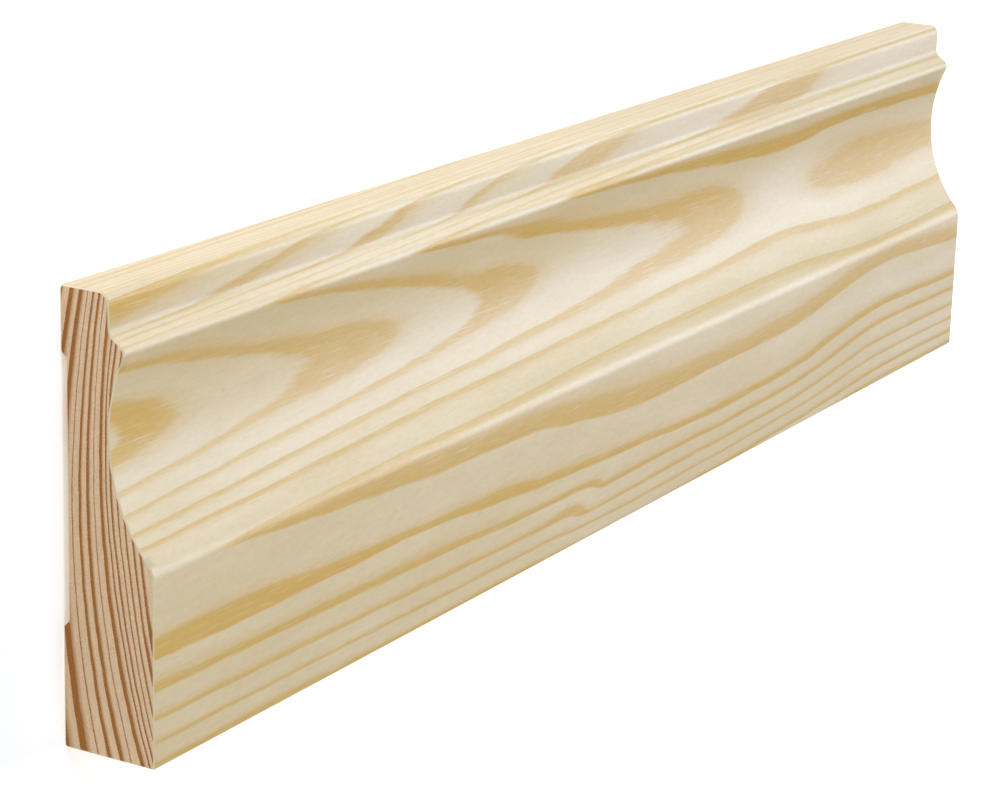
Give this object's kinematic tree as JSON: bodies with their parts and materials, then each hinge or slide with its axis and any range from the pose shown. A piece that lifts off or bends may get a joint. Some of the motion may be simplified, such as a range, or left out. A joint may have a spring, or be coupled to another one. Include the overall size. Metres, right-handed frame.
{
  "type": "skirting board length",
  "caption": "Straight length of moulded softwood skirting board with an eased top edge, a bead, a long hollow, a flat lower face and a relieved back.",
  "frame": {"origin": "centre of the back's bearing plane, halfway along the length and halfway between the floor edge and the top edge", "axes": "+X along the length, +Y from the floor edge to the top edge, +Z out of the wall, from the back to the moulded face"},
  "size_m": [0.4, 0.095, 0.022],
  "materials": {
    "pine": "planed, unfinished"
  },
  "bodies": {
    "root": {"skirting_board": "pine"}
  },
  "joints": []
}
